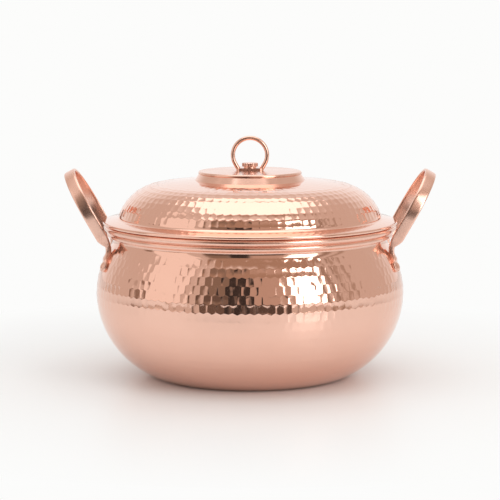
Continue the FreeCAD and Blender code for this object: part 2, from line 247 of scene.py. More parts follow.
floor_material, tree = new_material("white_board_satin")
place = add_node(tree, "ShaderNodeTexCoord").outputs["Object"]
distance = add_node(tree, "ShaderNodeVectorMath", {0: place}, operation="LENGTH")
fade = add_node(
    tree, "ShaderNodeMapRange", {"Value": distance.outputs["Value"]},
    {"From Min": FADE_FROM, "From Max": FADE_TO}
)
camera_ray = add_node(tree, "ShaderNodeLightPath").outputs["Is Camera Ray"]
fade = add_node(tree, "ShaderNodeMath", {0: fade.outputs[0], 1: camera_ray}, operation="MULTIPLY")
board = add_node(
    tree, "ShaderNodeBsdfPrincipled",
    values={"Base Color": linear("#f7f6f4"), "Roughness": 0.38, "Specular IOR Level": 0.4}
)
white = add_node(tree, "ShaderNodeEmission", values={"Color": linear("#fcfcfb")})
mixed = add_node(tree, "ShaderNodeMixShader", {0: fade.outputs[0], 1: board.outputs[0], 2: white.outputs[0]})
add_node(tree, "ShaderNodeOutputMaterial", {"Surface": mixed.outputs[0]})

bm = bmesh.new()
bmesh.ops.create_grid(bm, x_segments=1, y_segments=1, size=FLOOR_REACH)
for corner in bm.verts:
    if corner.co.y < 0:
        corner.co.y = -FLOOR_FRONT
floor_mesh = bpy.data.meshes.new("floor")
bm.to_mesh(floor_mesh)
bm.free()
floor = bpy.data.objects.new("floor", floor_mesh)
bpy.context.scene.collection.objects.link(floor)
floor.data.materials.append(floor_material)
print("floor reaches", FLOOR_REACH, "m back and", FLOOR_FRONT, "m forward")

# %% [markdown]
# A polished metal's colour comes from the metal itself, and it keeps the default IOR. Handling and
# buffing leave soft patches of two close tones, a little glossier or duller, and fine lines that run
# round the piece. Real lines are about 0.1 mm apart, too fine to show here, so they are drawn 1 to 3 mm
# apart and very shallow. One function makes every metal, because only these values differ.

# %% A polished metal
PATCH_MM = 35
PATCH_LOW = 0.3
PATCH_HIGH = 0.7
GLOSSIER = 0.8
DULLER = 1.25
LINE_STRETCH = 0.04


def metal(name, tone, other_tone, roughness, line_mm, line_depth_mm):
    """Two close tones in soft patches, and fine lines that run round the piece."""
    material, tree = new_material(name)
    place = add_node(tree, "ShaderNodeTexCoord").outputs["Object"]
    patches = add_node(
        tree, "ShaderNodeTexNoise", {"Vector": place},
        {"Scale": 1 / (PATCH_MM * MM), "Detail": 3, "Roughness": 0.55}
    )
    colour = add_node(
        tree, "ShaderNodeMix", {"Factor": patches.outputs[0]}, {"A": linear(tone), "B": linear(other_tone)},
        data_type="RGBA"
    )
    stretched = add_node(
        tree, "ShaderNodeMapping", {"Vector": place}, {"Scale": (LINE_STRETCH, LINE_STRETCH, 1)}
    )
    lines = add_node(
        tree, "ShaderNodeTexNoise", {"Vector": stretched.outputs[0]},
        {"Scale": 1 / (line_mm * MM), "Detail": 2}
    )
    bump = add_node(
        tree, "ShaderNodeBump", {"Height": lines.outputs[0]}, {"Strength": 1, "Distance": line_depth_mm * MM}
    )
    gloss = add_node(
        tree, "ShaderNodeMapRange", {"Value": patches.outputs[0]},
        {
            "From Min": PATCH_LOW, "From Max": PATCH_HIGH,
            "To Min": roughness * GLOSSIER, "To Max": roughness * DULLER
        }
    )
    shader = add_node(
        tree, "ShaderNodeBsdfPrincipled",
        {"Base Color": colour.outputs["Result"], "Roughness": gloss.outputs[0], "Normal": bump.outputs[0]},
        {"Metallic": 1}
    )
    add_node(tree, "ShaderNodeOutputMaterial", {"Surface": shader.outputs[0]})
    return material


# %% [markdown]
# The pot is copper, tinned inside, with a steel wire in its rim and brass fittings under the ring. The
# copper has three finishes, by how each piece was worked. The values start from what is usual for the
# metal and the finish, and were then matched to the photograph.

# %% The six finishes
# Beaten with a polished hammer, then buffed: every facet is nearly a mirror
hammered_copper = metal(
    "copper_planished_and_buffed", "#f8cdbb", "#f4c6b3", roughness=0.09, line_mm=2.4, line_depth_mm=0.007
)
# Buffed but not hammered: reflections run into long soft bands
polished_copper = metal(
    "copper_buffed_smooth", "#f8cfbe", "#f3c5b2", roughness=0.2, line_mm=2.0, line_depth_mm=0.002
)
# Forged, filed and brushed: broad highlights with no sharp edge
forged_copper = metal(
    "copper_forged_and_brushed", "#f8cfbe", "#f3c5b2", roughness=0.27, line_mm=1.6, line_depth_mm=0.005
)
# Melted on and wiped round with a cloth: grey and satin, with the streaks of the cloth
wiped_tin = metal(
    "tin_wiped_by_hand", "#d2d0cc", "#c4c2bd", roughness=0.30, line_mm=3.0, line_depth_mm=0.02
)
# Drawn through a die: an even grey sheen
steel = metal(
    "steel_drawn", "#b9babb", "#a9aaac", roughness=0.30, line_mm=1.0, line_depth_mm=0.004
)
# Turned on a lathe: yellow, with the fine rings of the tool
brass = metal(
    "brass_turned", "#dcc082", "#cfae6c", roughness=0.22, line_mm=0.8, line_depth_mm=0.004
)
FINISHES = (hammered_copper, polished_copper, forged_copper, wiped_tin, steel, brass)
print("finishes:", ", ".join(finish.name for finish in FINISHES))

# %% [markdown]
# Round pieces start as an outline in the XZ plane, which is spun about Z. An arc of the outline is
# itself a spin: the last point is carried round the arc's centre. A Screw modifier could turn the
# outline too, but the hammering needs the points of the finished mesh. From here on, sizes are in
# millimetres and angles in degrees, and these helpers turn them into metres and radians.

# %% Helpers for outlines
SAME_PLACE = 0.01


def start_at(bm, radius, height):
    return bm.verts.new((radius * MM, 0, height * MM))


def line_to(bm, last, radius, height):
    point = bm.verts.new((radius * MM, 0, height * MM))
    bm.edges.new((last, point))
    return point


def arc_to(bm, last, centre, start, end, steps):
    """Carry the outline's last point round a centre, from one angle to another in degrees."""
    turned = bmesh.ops.spin(
        bm, geom=[last], cent=(centre[0] * MM, 0, centre[1] * MM), axis=(0, -1, 0),
        angle=math.radians(end - start), steps=steps
    )
    return turned["geom_last"][0]


def close_outline(bm, last):
    bm.verts.ensure_lookup_table()
    bm.edges.new((last, bm.verts[0]))


def on_arc(centre, radius, angle):
    turn = math.radians(angle)
    return centre[0] + radius * math.cos(turn), centre[1] + radius * math.sin(turn)


# %% [markdown]
# A full spin in hundreds of steps is slow. So one small sector is spun, and then copied round the axis
# in two rounds: the first fills a tenth of the turn, and the second makes the whole of ten of those.
# Points that meet are merged, which closes the seams and the poles, and the faces are turned outwards.

# %% Helpers for round pieces
COPIES_AT_ONCE = 10
MERGE_MM = 0.002


def spin_round(bm, sectors, shares=(1,)):
    """Make a whole turn of an outline, in a number of sectors that ten divides.

    The shares say how a sector is cut into columns of faces, and their sum is 1.
    """
    axis = {"cent": (0, 0, 0), "axis": (0, 0, 1)}
    angle = 2 * math.pi / sectors
    last = bm.verts[:] + bm.edges[:]
    for share in shares:
        last = bmesh.ops.spin(bm, geom=last, angle=angle * share, steps=1, **axis)["geom_last"]
    for copies in (sectors // COPIES_AT_ONCE, COPIES_AT_ONCE):
        whole = bm.verts[:] + bm.edges[:] + bm.faces[:]
        bmesh.ops.spin(
            bm, geom=whole, angle=angle * (copies - 1), steps=copies - 1, use_duplicate=True, **axis
        )
        bmesh.ops.remove_doubles(bm, verts=bm.verts, dist=MERGE_MM * MM)
        angle *= copies
    bmesh.ops.recalc_face_normals(bm, faces=bm.faces)
    bm.normal_update()


def finish_piece(bm, name, body, material, nodes=(), sharp_angle=40):
    """Make the mesh an object that rides on a body, shaded smooth but for its sharp edges."""
    mesh = bpy.data.meshes.new(name)
    bm.to_mesh(mesh)
    bm.free()
    mesh.shade_smooth()
    mesh.set_sharp_from_angle(angle=math.radians(sharp_angle))
    piece = bpy.data.objects.new(name, mesh)
    bpy.context.scene.collection.objects.link(piece)
    mesh.materials.append(material)
    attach(piece, body)
    if nodes:
        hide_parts(*nodes)
    print(name, len(mesh.polygons), "faces")


# %% [markdown]
# Hammering. A planishing hammer leaves small facets, side by side in staggered rows: nearly flat in the
# middle, and turned up at the ridge where two of them meet. They could be a bump map, but then the copy
# without its shader would be smooth, so they are real. A tree of the blows' centres finds the nearest
# blow for each point. A point that is as near to two or three blows lies on a ridge and shares them.
# No two blows are quite alike, so each facet leans a little its own way, by seeded random numbers.

# %% Helpers for hammering
RIDGE_WIDTH = 0.12
BLOW_TILT = 1.5
BLOWS_THAT_MEET = 3
random.seed(7)


def ring_of_blows(radius, height, angle, count, shift):
    """Centres and directions of one ring of blows, whose skin looks up by an angle."""
    tilt = math.radians(BLOW_TILT)
    lift = math.radians(angle)
    ring = []
    for blow in range(count):
        turn = 2 * math.pi * (blow + shift) / count
        outwards = Vector((math.cos(turn), math.sin(turn), 0))
        normal = outwards * math.cos(lift) + Vector((0, 0, math.sin(lift)))
        normal += Vector([random.uniform(-tilt, tilt) for _ in range(3)])
        ring.append(((outwards * radius + Vector((0, 0, height))) * MM, normal.normalized()))
    return ring


def hammer(verts, blows, sink, half_width, rise, share_at):
    """Sink points into the facets of their nearest blows. share_at gives how far, for a place in mm."""
    tree = KDTree(len(blows))
    for number, (centre, _) in enumerate(blows):
        tree.insert(centre, number)
    tree.balance()
    for vert in verts:
        share = share_at(vert.co / MM)
        if share > 0:
            near = tree.find_n(vert.co, BLOWS_THAT_MEET)
            moves = []
            for centre, number, distance in near:
                if distance - near[0][2] < RIDGE_WIDTH * MM:
                    normal = blows[number][1]
                    bowl = rise * (distance / MM / half_width) ** 3 - sink
                    moves.append(normal * ((vert.co - centre).dot(normal) - bowl * MM))
            vert.co -= sum(moves[1:], moves[0]) * (share / len(moves))


def step_between(value, low, high):
    """0 below low, 1 above high, and a straight ramp between them."""
    return min(1, max(0, (value - low) / (high - low)))


# %% [markdown]
# The pot's wall is raised from one copper disc. Its section is three arcs that run into each other: a
# wide one from the base to the belly, a tighter one over the belly, and a flat one up to the neck. A
# small hollow then turns it upright. The arcs follow from a few sizes, so that the wall has no kink.

# %% Sizes of the pot's wall
# NECK and BELLY are radii, and BELLY_HEIGHT is above the base
SHEET = 1.5
NECK = 115.6
NECK_HEIGHT = 0.2
BELLY = 130.0
BELLY_HEIGHT = 72.0
HEEL_SWEEP = 51.0
LOWER_RADIUS = (HEEL_SWEEP ** 2 + BELLY_HEIGHT ** 2) / (2 * HEEL_SWEEP)
UPPER_RADIUS = 60.0
UPPER_TURN = 15.0
SHOULDER_RADIUS = 95.7
FILLET = 7.1
LOWER_BELLY = (BELLY - LOWER_RADIUS, BELLY_HEIGHT)
UPPER_BELLY = (BELLY - UPPER_RADIUS, BELLY_HEIGHT)
SHOULDER = on_arc(UPPER_BELLY, UPPER_RADIUS - SHOULDER_RADIUS, UPPER_TURN)
NECK_REACH = NECK + FILLET - SHOULDER[0]
NECK_FOOT = (NECK + FILLET, SHOULDER[1] + math.sqrt((SHOULDER_RADIUS + FILLET) ** 2 - NECK_REACH ** 2))
NECK_TOP = NECK_FOOT[1] + NECK_HEIGHT
SHOULDER_END = math.degrees(math.atan2(NECK_FOOT[1] - SHOULDER[1], NECK_REACH))
SHOULDER_TOP = on_arc(SHOULDER, SHOULDER_RADIUS, SHOULDER_END)[1]
BASE_ANGLE = -math.degrees(math.asin(BELLY_HEIGHT / LOWER_RADIUS))
# Centre, radius, upper angle and lower angle of each arc, from the neck down
WALL_ARCS = [
    (SHOULDER, SHOULDER_RADIUS, SHOULDER_END, UPPER_TURN),
    (UPPER_BELLY, UPPER_RADIUS, UPPER_TURN, 0),
    (LOWER_BELLY, LOWER_RADIUS, 0, BASE_ANGLE),
]
print("shoulder ends at", round(SHOULDER_TOP, 2), "mm and the neck at", round(NECK_TOP, 2), "mm")

# %% [markdown]
# The blows lie in rows down the wall, 120 to a row, each row shifted by half a blow against the next.
# The mesh follows them: its columns and rows bunch up at the ridges, so a few faces give each facet a
# crisp border. Straight rings of points would cut across the staggered facets, so the rings at the
# ridges are bent into a zigzag.

# %% Rows of blows on the wall
BLOWS_ROUND = 120
BLOW_ROW = 7.3
FIRST_ROW = 0.9
ROWS = range(-1, 18)
ROW_SHARES = (0.08, 0.5, 0.92, 1)
COLUMN_SHARES = (0.06, 0.19, 0.19, 0.06, 0.06, 0.19, 0.19, 0.06)


def wall_point(place):
    """The arc of the wall, and the angle on it, at a distance down from the neck."""
    for centre, radius, start, end in WALL_ARCS:
        length = math.radians(start - end) * radius
        if place < length:
            break
        place -= length
    return centre, radius, start - math.degrees(place / radius)


def bend_ridges(vert):
    """Slide a point of the wall so that the ridges between the rows zigzag round the staggered blows.

    A ridge is as far from a blow in one row as from the nearest one in the next row. So it swings up
    and down by the square of the blows' pitch over 8 times the rows' distance. Between two ridges the
    slide shrinks to nothing.
    """
    radius = math.hypot(vert.co.x, vert.co.y) / MM
    height = vert.co.z / MM
    passed = 0
    for centre, arc_radius, start, end in WALL_ARCS:
        angle = math.degrees(math.atan2(height - centre[1], radius - centre[0]))
        if angle > end:
            break
        passed += math.radians(start - end) * arc_radius
    row = (passed + math.radians(start - angle) * arc_radius - FIRST_ROW) / BLOW_ROW
    ridge = round(row)
    turn = math.atan2(vert.co.y, vert.co.x)
    share = turn / (2 * math.pi) * BLOWS_ROUND + 0.5 * (ridge % 2)
    swing = 1 - 4 * abs(share % 1 - 0.5)
    pitch = 2 * math.pi * radius / BLOWS_ROUND
    slide = pitch ** 2 / (8 * BLOW_ROW) * swing * (1 - 2 * abs(row - ridge))
    radius, height = on_arc(centre, arc_radius, angle - math.degrees(slide / arc_radius))
    vert.co = Vector((radius * math.cos(turn), radius * math.sin(turn), height)) * MM


arc_ends = [0]
for centre, radius, start, end in WALL_ARCS:
    arc_ends.append(arc_ends[-1] + math.radians(start - end) * radius)
print("rows of blows:", len(ROWS), "over", round(arc_ends[-1]), "mm of wall")

# %% [markdown]
# The outline goes up the outer face from the middle of the base, over the neck's edge and down the inner
# face, so the wall has its real thickness. The inner face needs few rings: the tin lining covers it.

# %% Pot body
END_MARGIN = 0.3
INNER_WALL_STEPS = (1, 1, 4)

ring_places = [FIRST_ROW + (row + share) * BLOW_ROW for row in ROWS for share in ROW_SHARES]
ring_places = [place for place in ring_places if END_MARGIN < place < arc_ends[-1] - END_MARGIN]
places = sorted(arc_ends + ring_places, reverse=True)

bm = bmesh.new()
last = start_at(bm, 0, 0)
last = line_to(bm, last, *on_arc(LOWER_BELLY, LOWER_RADIUS, BASE_ANGLE))
for low, high in zip(places, places[1:]):
    centre, radius, angle = wall_point((low + high) / 2)
    half = math.degrees((low - high) / 2 / radius)
    last = arc_to(bm, last, centre, angle - half, angle + half, steps=1)
last = arc_to(bm, last, NECK_FOOT, SHOULDER_END - 180, -180, steps=5)
last = line_to(bm, last, NECK, NECK_TOP)
last = line_to(bm, last, NECK - SHEET, NECK_TOP)
last = line_to(bm, last, NECK - SHEET, NECK_FOOT[1])
last = arc_to(bm, last, NECK_FOOT, -180, SHOULDER_END - 180, steps=1)
inner_end = -math.degrees(math.asin((BELLY_HEIGHT - SHEET) / (LOWER_RADIUS - SHEET)))
for (centre, radius, start, end), steps in zip(WALL_ARCS, INNER_WALL_STEPS):
    last = arc_to(bm, last, centre, start, max(end, inner_end), steps)
line_to(bm, last, 0, SHEET)
spin_round(bm, BLOWS_ROUND, COLUMN_SHARES)
print("points of the pot's wall:", len(bm.verts))

# %% [markdown]
# The outer skin is hammered all round. The lower wall got lighter blows than the shoulder, and the base
# and the last bit under the neck got none. The wall is also smooth where the feet of the handles sit,
# because a riveted leaf needs a plain seat. A share for each place says how hard it was struck.

# %% Hammer the pot
FOOT_ANGLE = 20.4
FOOT_OFFSET = 32
foot_radius, foot_height = on_arc(SHOULDER, SHOULDER_RADIUS, FOOT_ANGLE)
foot_turn = math.asin(FOOT_OFFSET / foot_radius)
SEAT = Vector((foot_radius * math.cos(foot_turn), foot_radius * math.sin(foot_turn), foot_height))
LIGHT_BLOWS = 0.35
# From where to where, in mm, the blows get harder
BASE_BAND = (3, 12)
LIGHT_BAND = (60, 70)
TOP_BAND = (0, 1.2)
SEAT_BAND = (13, 22)


def pot_share(place):
    """How hard the wall was struck at a place, from 0 to 1."""
    low_down = LIGHT_BLOWS + (1 - LIGHT_BLOWS) * step_between(place.z, *LIGHT_BAND)
    from_seat = (Vector((abs(place.x), abs(place.y), place.z)) - SEAT).length
    return min(
        step_between(place.z, *BASE_BAND) * low_down,
        step_between(SHOULDER_TOP - place.z, *TOP_BAND),
        step_between(from_seat, *SEAT_BAND)
    )


middle = Vector((0, 0, BELLY_HEIGHT * MM))
skin = [
    vert for vert in bm.verts
    if vert.normal.dot(vert.co - middle) > 0 and vert.co.z > BASE_BAND[0] * MM
]
for vert in skin:
    if vert.co.z < (SHOULDER_TOP - SAME_PLACE) * MM:
        bend_ridges(vert)
blows = []
for row in ROWS:
    centre, radius, angle = wall_point(FIRST_ROW + (row + 0.5) * BLOW_ROW)
    blows += ring_of_blows(*on_arc(centre, radius, angle), angle, BLOWS_ROUND, 0.5 * (row % 2))
hammer(skin, blows, sink=0.28, half_width=3.4, rise=0.075, share_at=pot_share)
print("blows on the pot:", len(blows), "points:", len(skin))
finish_piece(bm, "pot_shell", "pot", hammered_copper, ["pot_body"])

# %% [markdown]
# The rim is a cove, a swaged bead and a roll around a wire. A blacksmith would call it a moulded edge.
# It is left smooth and bright. It could be one mesh with the wall, but it is a piece of its own here,
# with fewer faces round it, because no hammer marks need them. Its foot laps the neck by half a
# millimetre, so that no gap shows between the two.

# %% Pot rim
COVE_RADIUS = 1.8
LEDGE_WIDTH = 1.0
BEAD_RADIUS = 2.5
BEAD_END = 53.13
ROLL_RADIUS = 2.55
ROLL_BORE = 1.05
ROLL_END = -125
RIM_LAP = 0.5
RIM_SECTORS = 320
COVE = (NECK + COVE_RADIUS, NECK_TOP)
LEDGE = COVE[0] + LEDGE_WIDTH
BEAD = (LEDGE, NECK_TOP + COVE_RADIUS + BEAD_RADIUS)
ROLL = (LEDGE + ROLL_RADIUS, BEAD[1] + BEAD_RADIUS + ROLL_RADIUS)

bm = bmesh.new()
last = start_at(bm, NECK - SHEET, NECK_TOP - RIM_LAP)
last = line_to(bm, last, NECK, NECK_TOP - RIM_LAP)
last = line_to(bm, last, NECK, NECK_TOP)
last = arc_to(bm, last, COVE, 180, 90, steps=8)
last = line_to(bm, last, LEDGE, NECK_TOP + COVE_RADIUS)
last = arc_to(bm, last, BEAD, -90, BEAD_END, steps=14)
last = line_to(bm, last, LEDGE + SHEET, ROLL[1] - ROLL_BORE)
last = line_to(bm, last, *on_arc(ROLL, ROLL_RADIUS, ROLL_END))
last = arc_to(bm, last, ROLL, ROLL_END, 180, steps=26)
last = line_to(bm, last, LEDGE, BEAD[1] + BEAD_RADIUS - SHEET)
last = arc_to(bm, last, BEAD, 90, -90, steps=6)
last = line_to(bm, last, COVE[0], NECK_TOP + COVE_RADIUS + SHEET)
last = arc_to(bm, last, COVE, 90, 180, steps=8)
close_outline(bm, last)
spin_round(bm, RIM_SECTORS)
finish_piece(bm, "pot_rim", "pot", polished_copper)

# %% [markdown]
# The lid is spun from sheet and then planished. Its brim slopes up to the dome and meets it in a small
# hollow. The hollow's arc has to touch the slope and the dome's side, so its centre is worked out from
# both: it lies at a hollow's radius above the slope, and as far from the centre of the dome's corner as
# both radii together.

# %% Sizes of the lid
# DOME and LID_EDGE are radii, and BRIM_TOP and LID_UNDER are heights above the pot's base
LID_SHEET = 1.0
BRIM_TOP = 132.4
LID_UNDER = 129.6
LID_EDGE = 124.3
FOLD_RADIUS = 1.4
FOLD = (LID_EDGE - FOLD_RADIUS, LID_UNDER + FOLD_RADIUS)
DOME = 110.5
CORNER_RADIUS = 11.2
CORNER_TURN = 23.4
SIDE_HEIGHT = 2.8
ROUND_RADIUS = 39.2
CROWN_RADIUS = 618
DOME_CORNER = (DOME - CORNER_RADIUS, BRIM_TOP + SIDE_HEIGHT)
DOME_ROUND = on_arc(DOME_CORNER, CORNER_RADIUS - ROUND_RADIUS, CORNER_TURN)
DOME_CROWN = (0, DOME_ROUND[1] - math.sqrt((CROWN_RADIUS - ROUND_RADIUS) ** 2 - DOME_ROUND[0] ** 2))
CROWN_MEET = math.degrees(math.atan2(DOME_ROUND[1] - DOME_CROWN[1], DOME_ROUND[0]))
BRIM_SLOPE = 11.0
HOLLOW = 4.0


def find_hollow():
    """The centre of the hollow between the sloping brim and the dome's side."""
    start = Vector(on_arc(FOLD, FOLD_RADIUS, 90 - BRIM_SLOPE))
    way = Vector(on_arc((0, 0), 1, 180 - BRIM_SLOPE))
    above = Vector(on_arc((0, 0), HOLLOW, 90 - BRIM_SLOPE))
    reach = start + above - Vector(DOME_CORNER)
    along = reach.dot(way)
    length = -along - math.sqrt(along ** 2 - reach.length_squared + (CORNER_RADIUS + HOLLOW) ** 2)
    return start + way * length + above


HOLLOW_CENTRE = find_hollow()
DOME_FOOT = math.degrees(math.asin((HOLLOW_CENTRE.y - DOME_CORNER[1]) / (CORNER_RADIUS + HOLLOW)))
print("the hollow meets the dome", round(DOME_FOOT, 2), "degrees up its corner")

# %% [markdown]
# The edge of the brim is folded over the flange of the collar below, which makes it look thick and
# smooth. The dome is one outline with the brim, so no joint shows between them. Its steps are small
# where it is hammered and wide on the plain crown and inside, which keeps the mesh light.

# %% Lid dome and brim
STUD_HOLE = 2.2
UNHAMMERED = 52.0
HEM_WIDTH = 7.3
INNER_FOLD = 0.4
UNDER_RISE = 0.6
LID_SECTORS = 180
OUTER_STEPS = (4, 46, 15, 5)
INNER_STEPS = (1, 4, 1, 1)


def dome_arcs(inset, steps):
    """The dome's arcs at an inset from its outer skin, from its side up to the hole for the stud."""
    radii = (UNHAMMERED, STUD_HOLE)
    plain, top = (math.degrees(math.acos(radius / (CROWN_RADIUS - inset))) for radius in radii)
    return [
        (DOME_CORNER, CORNER_RADIUS - inset, DOME_FOOT, CORNER_TURN, steps[0]),
        (DOME_ROUND, ROUND_RADIUS - inset, CORNER_TURN, CROWN_MEET, steps[1]),
        (DOME_CROWN, CROWN_RADIUS - inset, CROWN_MEET, plain, steps[2]),
        (DOME_CROWN, CROWN_RADIUS - inset, plain, top, steps[3]),
    ]


def turned_back(arcs):
    """The same arcs, run from the end of the last one to the start of the first."""
    return [(centre, radius, end, start, steps) for centre, radius, start, end, steps in reversed(arcs)]


def follow_arcs(bm, last, arcs):
    """Run the outline along arcs, with a straight line to each that starts somewhere else."""
    for centre, radius, start, end, steps in arcs:
        place = on_arc(centre, radius, start)
        if (last.co - Vector((place[0], 0, place[1])) * MM).length > SAME_PLACE * MM:
            last = line_to(bm, last, *place)
        last = arc_to(bm, last, centre, start, end, steps)
    return last


bm = bmesh.new()
last = start_at(bm, DOME - LID_SHEET, BRIM_TOP + UNDER_RISE)
last = line_to(bm, last, FOLD[0], FOLD[1] + INNER_FOLD)
last = arc_to(bm, last, FOLD, 90, -90, steps=4)
last = line_to(bm, last, LID_EDGE - HEM_WIDTH, LID_UNDER + LID_SHEET)
last = line_to(bm, last, LID_EDGE - HEM_WIDTH, LID_UNDER)
last = line_to(bm, last, FOLD[0], LID_UNDER)
last = arc_to(bm, last, FOLD, -90, 90 - BRIM_SLOPE, steps=10)
last = line_to(bm, last, *on_arc(HOLLOW_CENTRE, HOLLOW, -90 - BRIM_SLOPE))
last = arc_to(bm, last, HOLLOW_CENTRE, -90 - BRIM_SLOPE, DOME_FOOT - 180, steps=8)
last = follow_arcs(bm, last, dome_arcs(0, OUTER_STEPS))
last = follow_arcs(bm, last, turned_back(dome_arcs(LID_SHEET, INNER_STEPS)))
close_outline(bm, last)
spin_round(bm, LID_SECTORS, (0.2, 0.2, 0.2, 0.2, 0.2))
print("points of the lid:", len(bm.verts))

# %% [markdown]
# The lid's blows lie in rings up the dome. A ring higher up is shorter, so it has fewer blows, each as
# wide as before. The last rings fade out before the boss, and the foot of the side is smooth.

# %% Hammer the lid
LID_BLOW = 6.65
LID_ROW = 6.0
LID_ROWS = 14
LID_FIRST_ROW = 0.15
FULL_BLOWS = 85
SIDE_BAND = (136.5, 138.5)
SKIN_HEIGHT = 4
LID_MIDDLE = 100


def lid_share(place):
    """How hard the dome was struck at a place, from 0 to 1."""
    return step_between(place.xy.length, UNHAMMERED, FULL_BLOWS) * step_between(place.z, *SIDE_BAND)


round_length = math.radians(CROWN_MEET - CORNER_TURN) * ROUND_RADIUS
blows = []
for row in range(LID_ROWS):
    place = (row + LID_FIRST_ROW) * LID_ROW
    if place > round_length:
        centre, radius = DOME_CROWN, CROWN_RADIUS
        angle = CROWN_MEET + math.degrees((place - round_length) / CROWN_RADIUS)
    else:
        centre, radius = DOME_ROUND, ROUND_RADIUS
        angle = CORNER_TURN + math.degrees(place / ROUND_RADIUS)
    ring_radius, height = on_arc(centre, radius, angle)
    count = round(2 * math.pi * ring_radius / LID_BLOW)
    blows += ring_of_blows(ring_radius, height, angle, count, 0.5 * (row % 2))
middle = Vector((0, 0, LID_MIDDLE * MM))
skin = [
    vert for vert in bm.verts
    if vert.co.z > (BRIM_TOP + SKIN_HEIGHT) * MM and vert.normal.dot(vert.co - middle) > 0
]
hammer(skin, blows, sink=0.2, half_width=3.2, rise=0.11, share_at=lid_share)
print("blows on the lid:", len(blows), "points:", len(skin))
finish_piece(bm, "lid_dome_and_brim", "lid", hammered_copper, ["lid_shell"])

# %% [markdown]
# The raised disc on the crown is pressed from sheet and buffed without hammering. Its top ends in a
# small rounded lip, which shows as a thin line of light over a thin dark one, and below the lip a flank
# widens to the foot. A bevelled cylinder would be quicker, but its edge would mirror the wrong things.

# %% Lid boss
BOSS_TOP = 174.1
BOSS_SHEET = 1.2
BOSS_CROWN_RADIUS = 2900
LIP_REACH = 43.6
LIP = 1.5
LIP_DROP = 0.3
LIP_END = -35
FLANK_INSET = 0.2
FLANK_DROP = 0.1
BOSS_FOOT = 46.5
FOOT_TUCK = 2
FOOT_SINK = 0.3
INSIDE_INSET = 0.6
INSIDE_RISE = 0.3
BOSS_SECTORS = 240
LIP_CENTRE = (LIP_REACH - LIP, BOSS_TOP - LIP_DROP - LIP)
BOSS_CROWN = (0, LIP_CENTRE[1] - math.sqrt((BOSS_CROWN_RADIUS - LIP) ** 2 - LIP_CENTRE[0] ** 2))
BOSS_MEET = math.degrees(math.atan2(LIP_CENTRE[1] - BOSS_CROWN[1], LIP_CENTRE[0]))
BOSS_HOLE = math.degrees(math.acos(STUD_HOLE / BOSS_CROWN_RADIUS))
UNDER_LIP = on_arc(LIP_CENTRE, LIP, LIP_END)
FOOT_HEIGHT = DOME_CROWN[1] + math.sqrt(CROWN_RADIUS ** 2 - BOSS_FOOT ** 2)

bm = bmesh.new()
last = start_at(bm, BOSS_FOOT - FOOT_TUCK, FOOT_HEIGHT - FOOT_SINK)
last = line_to(bm, last, BOSS_FOOT, FOOT_HEIGHT - FLANK_DROP)
last = line_to(bm, last, UNDER_LIP[0] - FLANK_INSET, UNDER_LIP[1] - FLANK_DROP)
last = line_to(bm, last, *UNDER_LIP)
last = arc_to(bm, last, LIP_CENTRE, LIP_END, BOSS_MEET, steps=14)
last = arc_to(bm, last, BOSS_CROWN, BOSS_MEET, BOSS_HOLE, steps=6)
last = line_to(bm, last, STUD_HOLE, BOSS_TOP - BOSS_SHEET)
last = line_to(bm, last, LIP_CENTRE[0] - INSIDE_INSET, LIP_CENTRE[1] + INSIDE_RISE)
close_outline(bm, last)
spin_round(bm, BOSS_SECTORS)
print("boss flank falls", round(UNDER_LIP[1] - FOOT_HEIGHT, 2), "mm")
finish_piece(bm, "lid_boss_disc", "lid", polished_copper, ["lid_boss"])

# %% [markdown]
# A handle is one flat strap, bent to an arch that leans outwards and drawn down at both ends to a leaf
# that is riveted on. It could be a curve with a profile, but the section changes from a strap to a neck
# and a leaf. So one rounded section is dragged along the strap: each step extrudes the end face and
# moves it to the next place.

# %% Helpers for dragging a section
def section_matrix(centre, deep_way, deep, wide_way, wide):
    """Places a unit section: its X along the strap's thickness and its Y along its width."""
    along = deep_way.cross(wide_way).normalized()
    matrix = Matrix((deep_way.normalized() * deep / 2, wide_way.normalized() * wide / 2, along)).transposed()
    matrix.resize_4x4()
    matrix.translation = centre
    return Matrix.Scale(MM, 4) @ matrix


def drag_section(bm, face, places):
    """Extrude the section's end face from each place to the next."""
    for before, after in zip(places, places[1:]):
        grown = bmesh.ops.extrude_discrete_faces(bm, faces=[face])
        face = grown["faces"][0]
        bmesh.ops.transform(bm, matrix=after @ before.inverted(), verts=face.verts)


def smooth_between(stops, steps):
    """Places on a smooth way through stops, each a tuple of vectors and sizes.

    Between two stops, four of them weigh in as on a Catmull-Rom curve, which passes through each stop.
    """
    places = []
    for number in range(len(stops) - 1):
        around = [stops[max(0, min(len(stops) - 1, number + shift))] for shift in (-1, 0, 1, 2)]
        for step in range(steps):
            t = step / steps
            weights = (
                (-t + 2 * t ** 2 - t ** 3) / 2, (2 - 5 * t ** 2 + 3 * t ** 3) / 2,
                (t + 4 * t ** 2 - 3 * t ** 3) / 2, (-t ** 2 + t ** 3) / 2
            )
            mixed = []
            for values in zip(*around):
                weighed = [value * weight for value, weight in zip(values, weights)]
                mixed.append(sum(weighed[1:], weighed[0]))
            places.append(tuple(mixed))
    places.append(stops[-1])
    return places


# %% [markdown]
# The arch is a circle whose plane leans outwards. The strap bends a little further round than half of
# it and then runs straight towards the pot. The way of the strap is worked out for the half of the
# handle at the back, and the other half is its mirror image.

